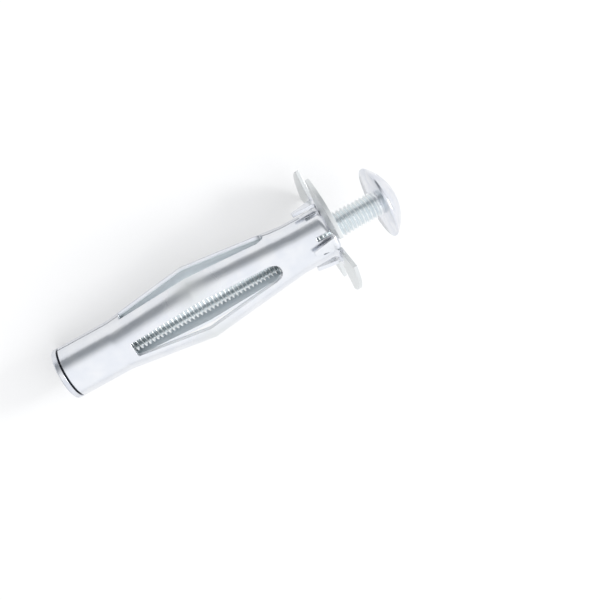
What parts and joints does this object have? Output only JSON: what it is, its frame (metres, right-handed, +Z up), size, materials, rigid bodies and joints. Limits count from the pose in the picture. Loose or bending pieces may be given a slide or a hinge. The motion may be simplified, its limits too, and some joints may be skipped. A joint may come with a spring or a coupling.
{
  "type": "hollow wall anchor",
  "caption": "Zinc-plated hollow wall anchor: slotted steel sleeve with a lobed, toothed flange, flanged nut in its tail and long mushroom-head screw.",
  "frame": {"origin": "centre of the bounding box on the floor that the anchor lies on", "axes": "+Z up; the anchor lies along X, its head towards +X, one notch of the flange down, its axis rising 7.4 degrees from tail to head because the flange is wider than the tail"},
  "size_m": [0.0669, 0.0232, 0.0232],
  "materials": {
    "plated_sheet": "bright zinc plate on pressed sheet, matt and finely speckled on the flange lobes",
    "plated_nut": "bright zinc plate",
    "plated_screw": "bright zinc plate, glossy on the head, blue-grey on the rolled thread"
  },
  "bodies": {
    "anchor": {"expansion_sleeve": "plated_sheet", "threaded_nut": "plated_nut"},
    "screw": {"machine_screw": "plated_screw"}
  },
  "joints": [
    {"name": "screw_travel", "type": "slide", "parent": "anchor", "child": "screw", "axis": [0.9916, 0, 0.1296], "range_m": [-0.00995, 0.0054]}
  ]
}
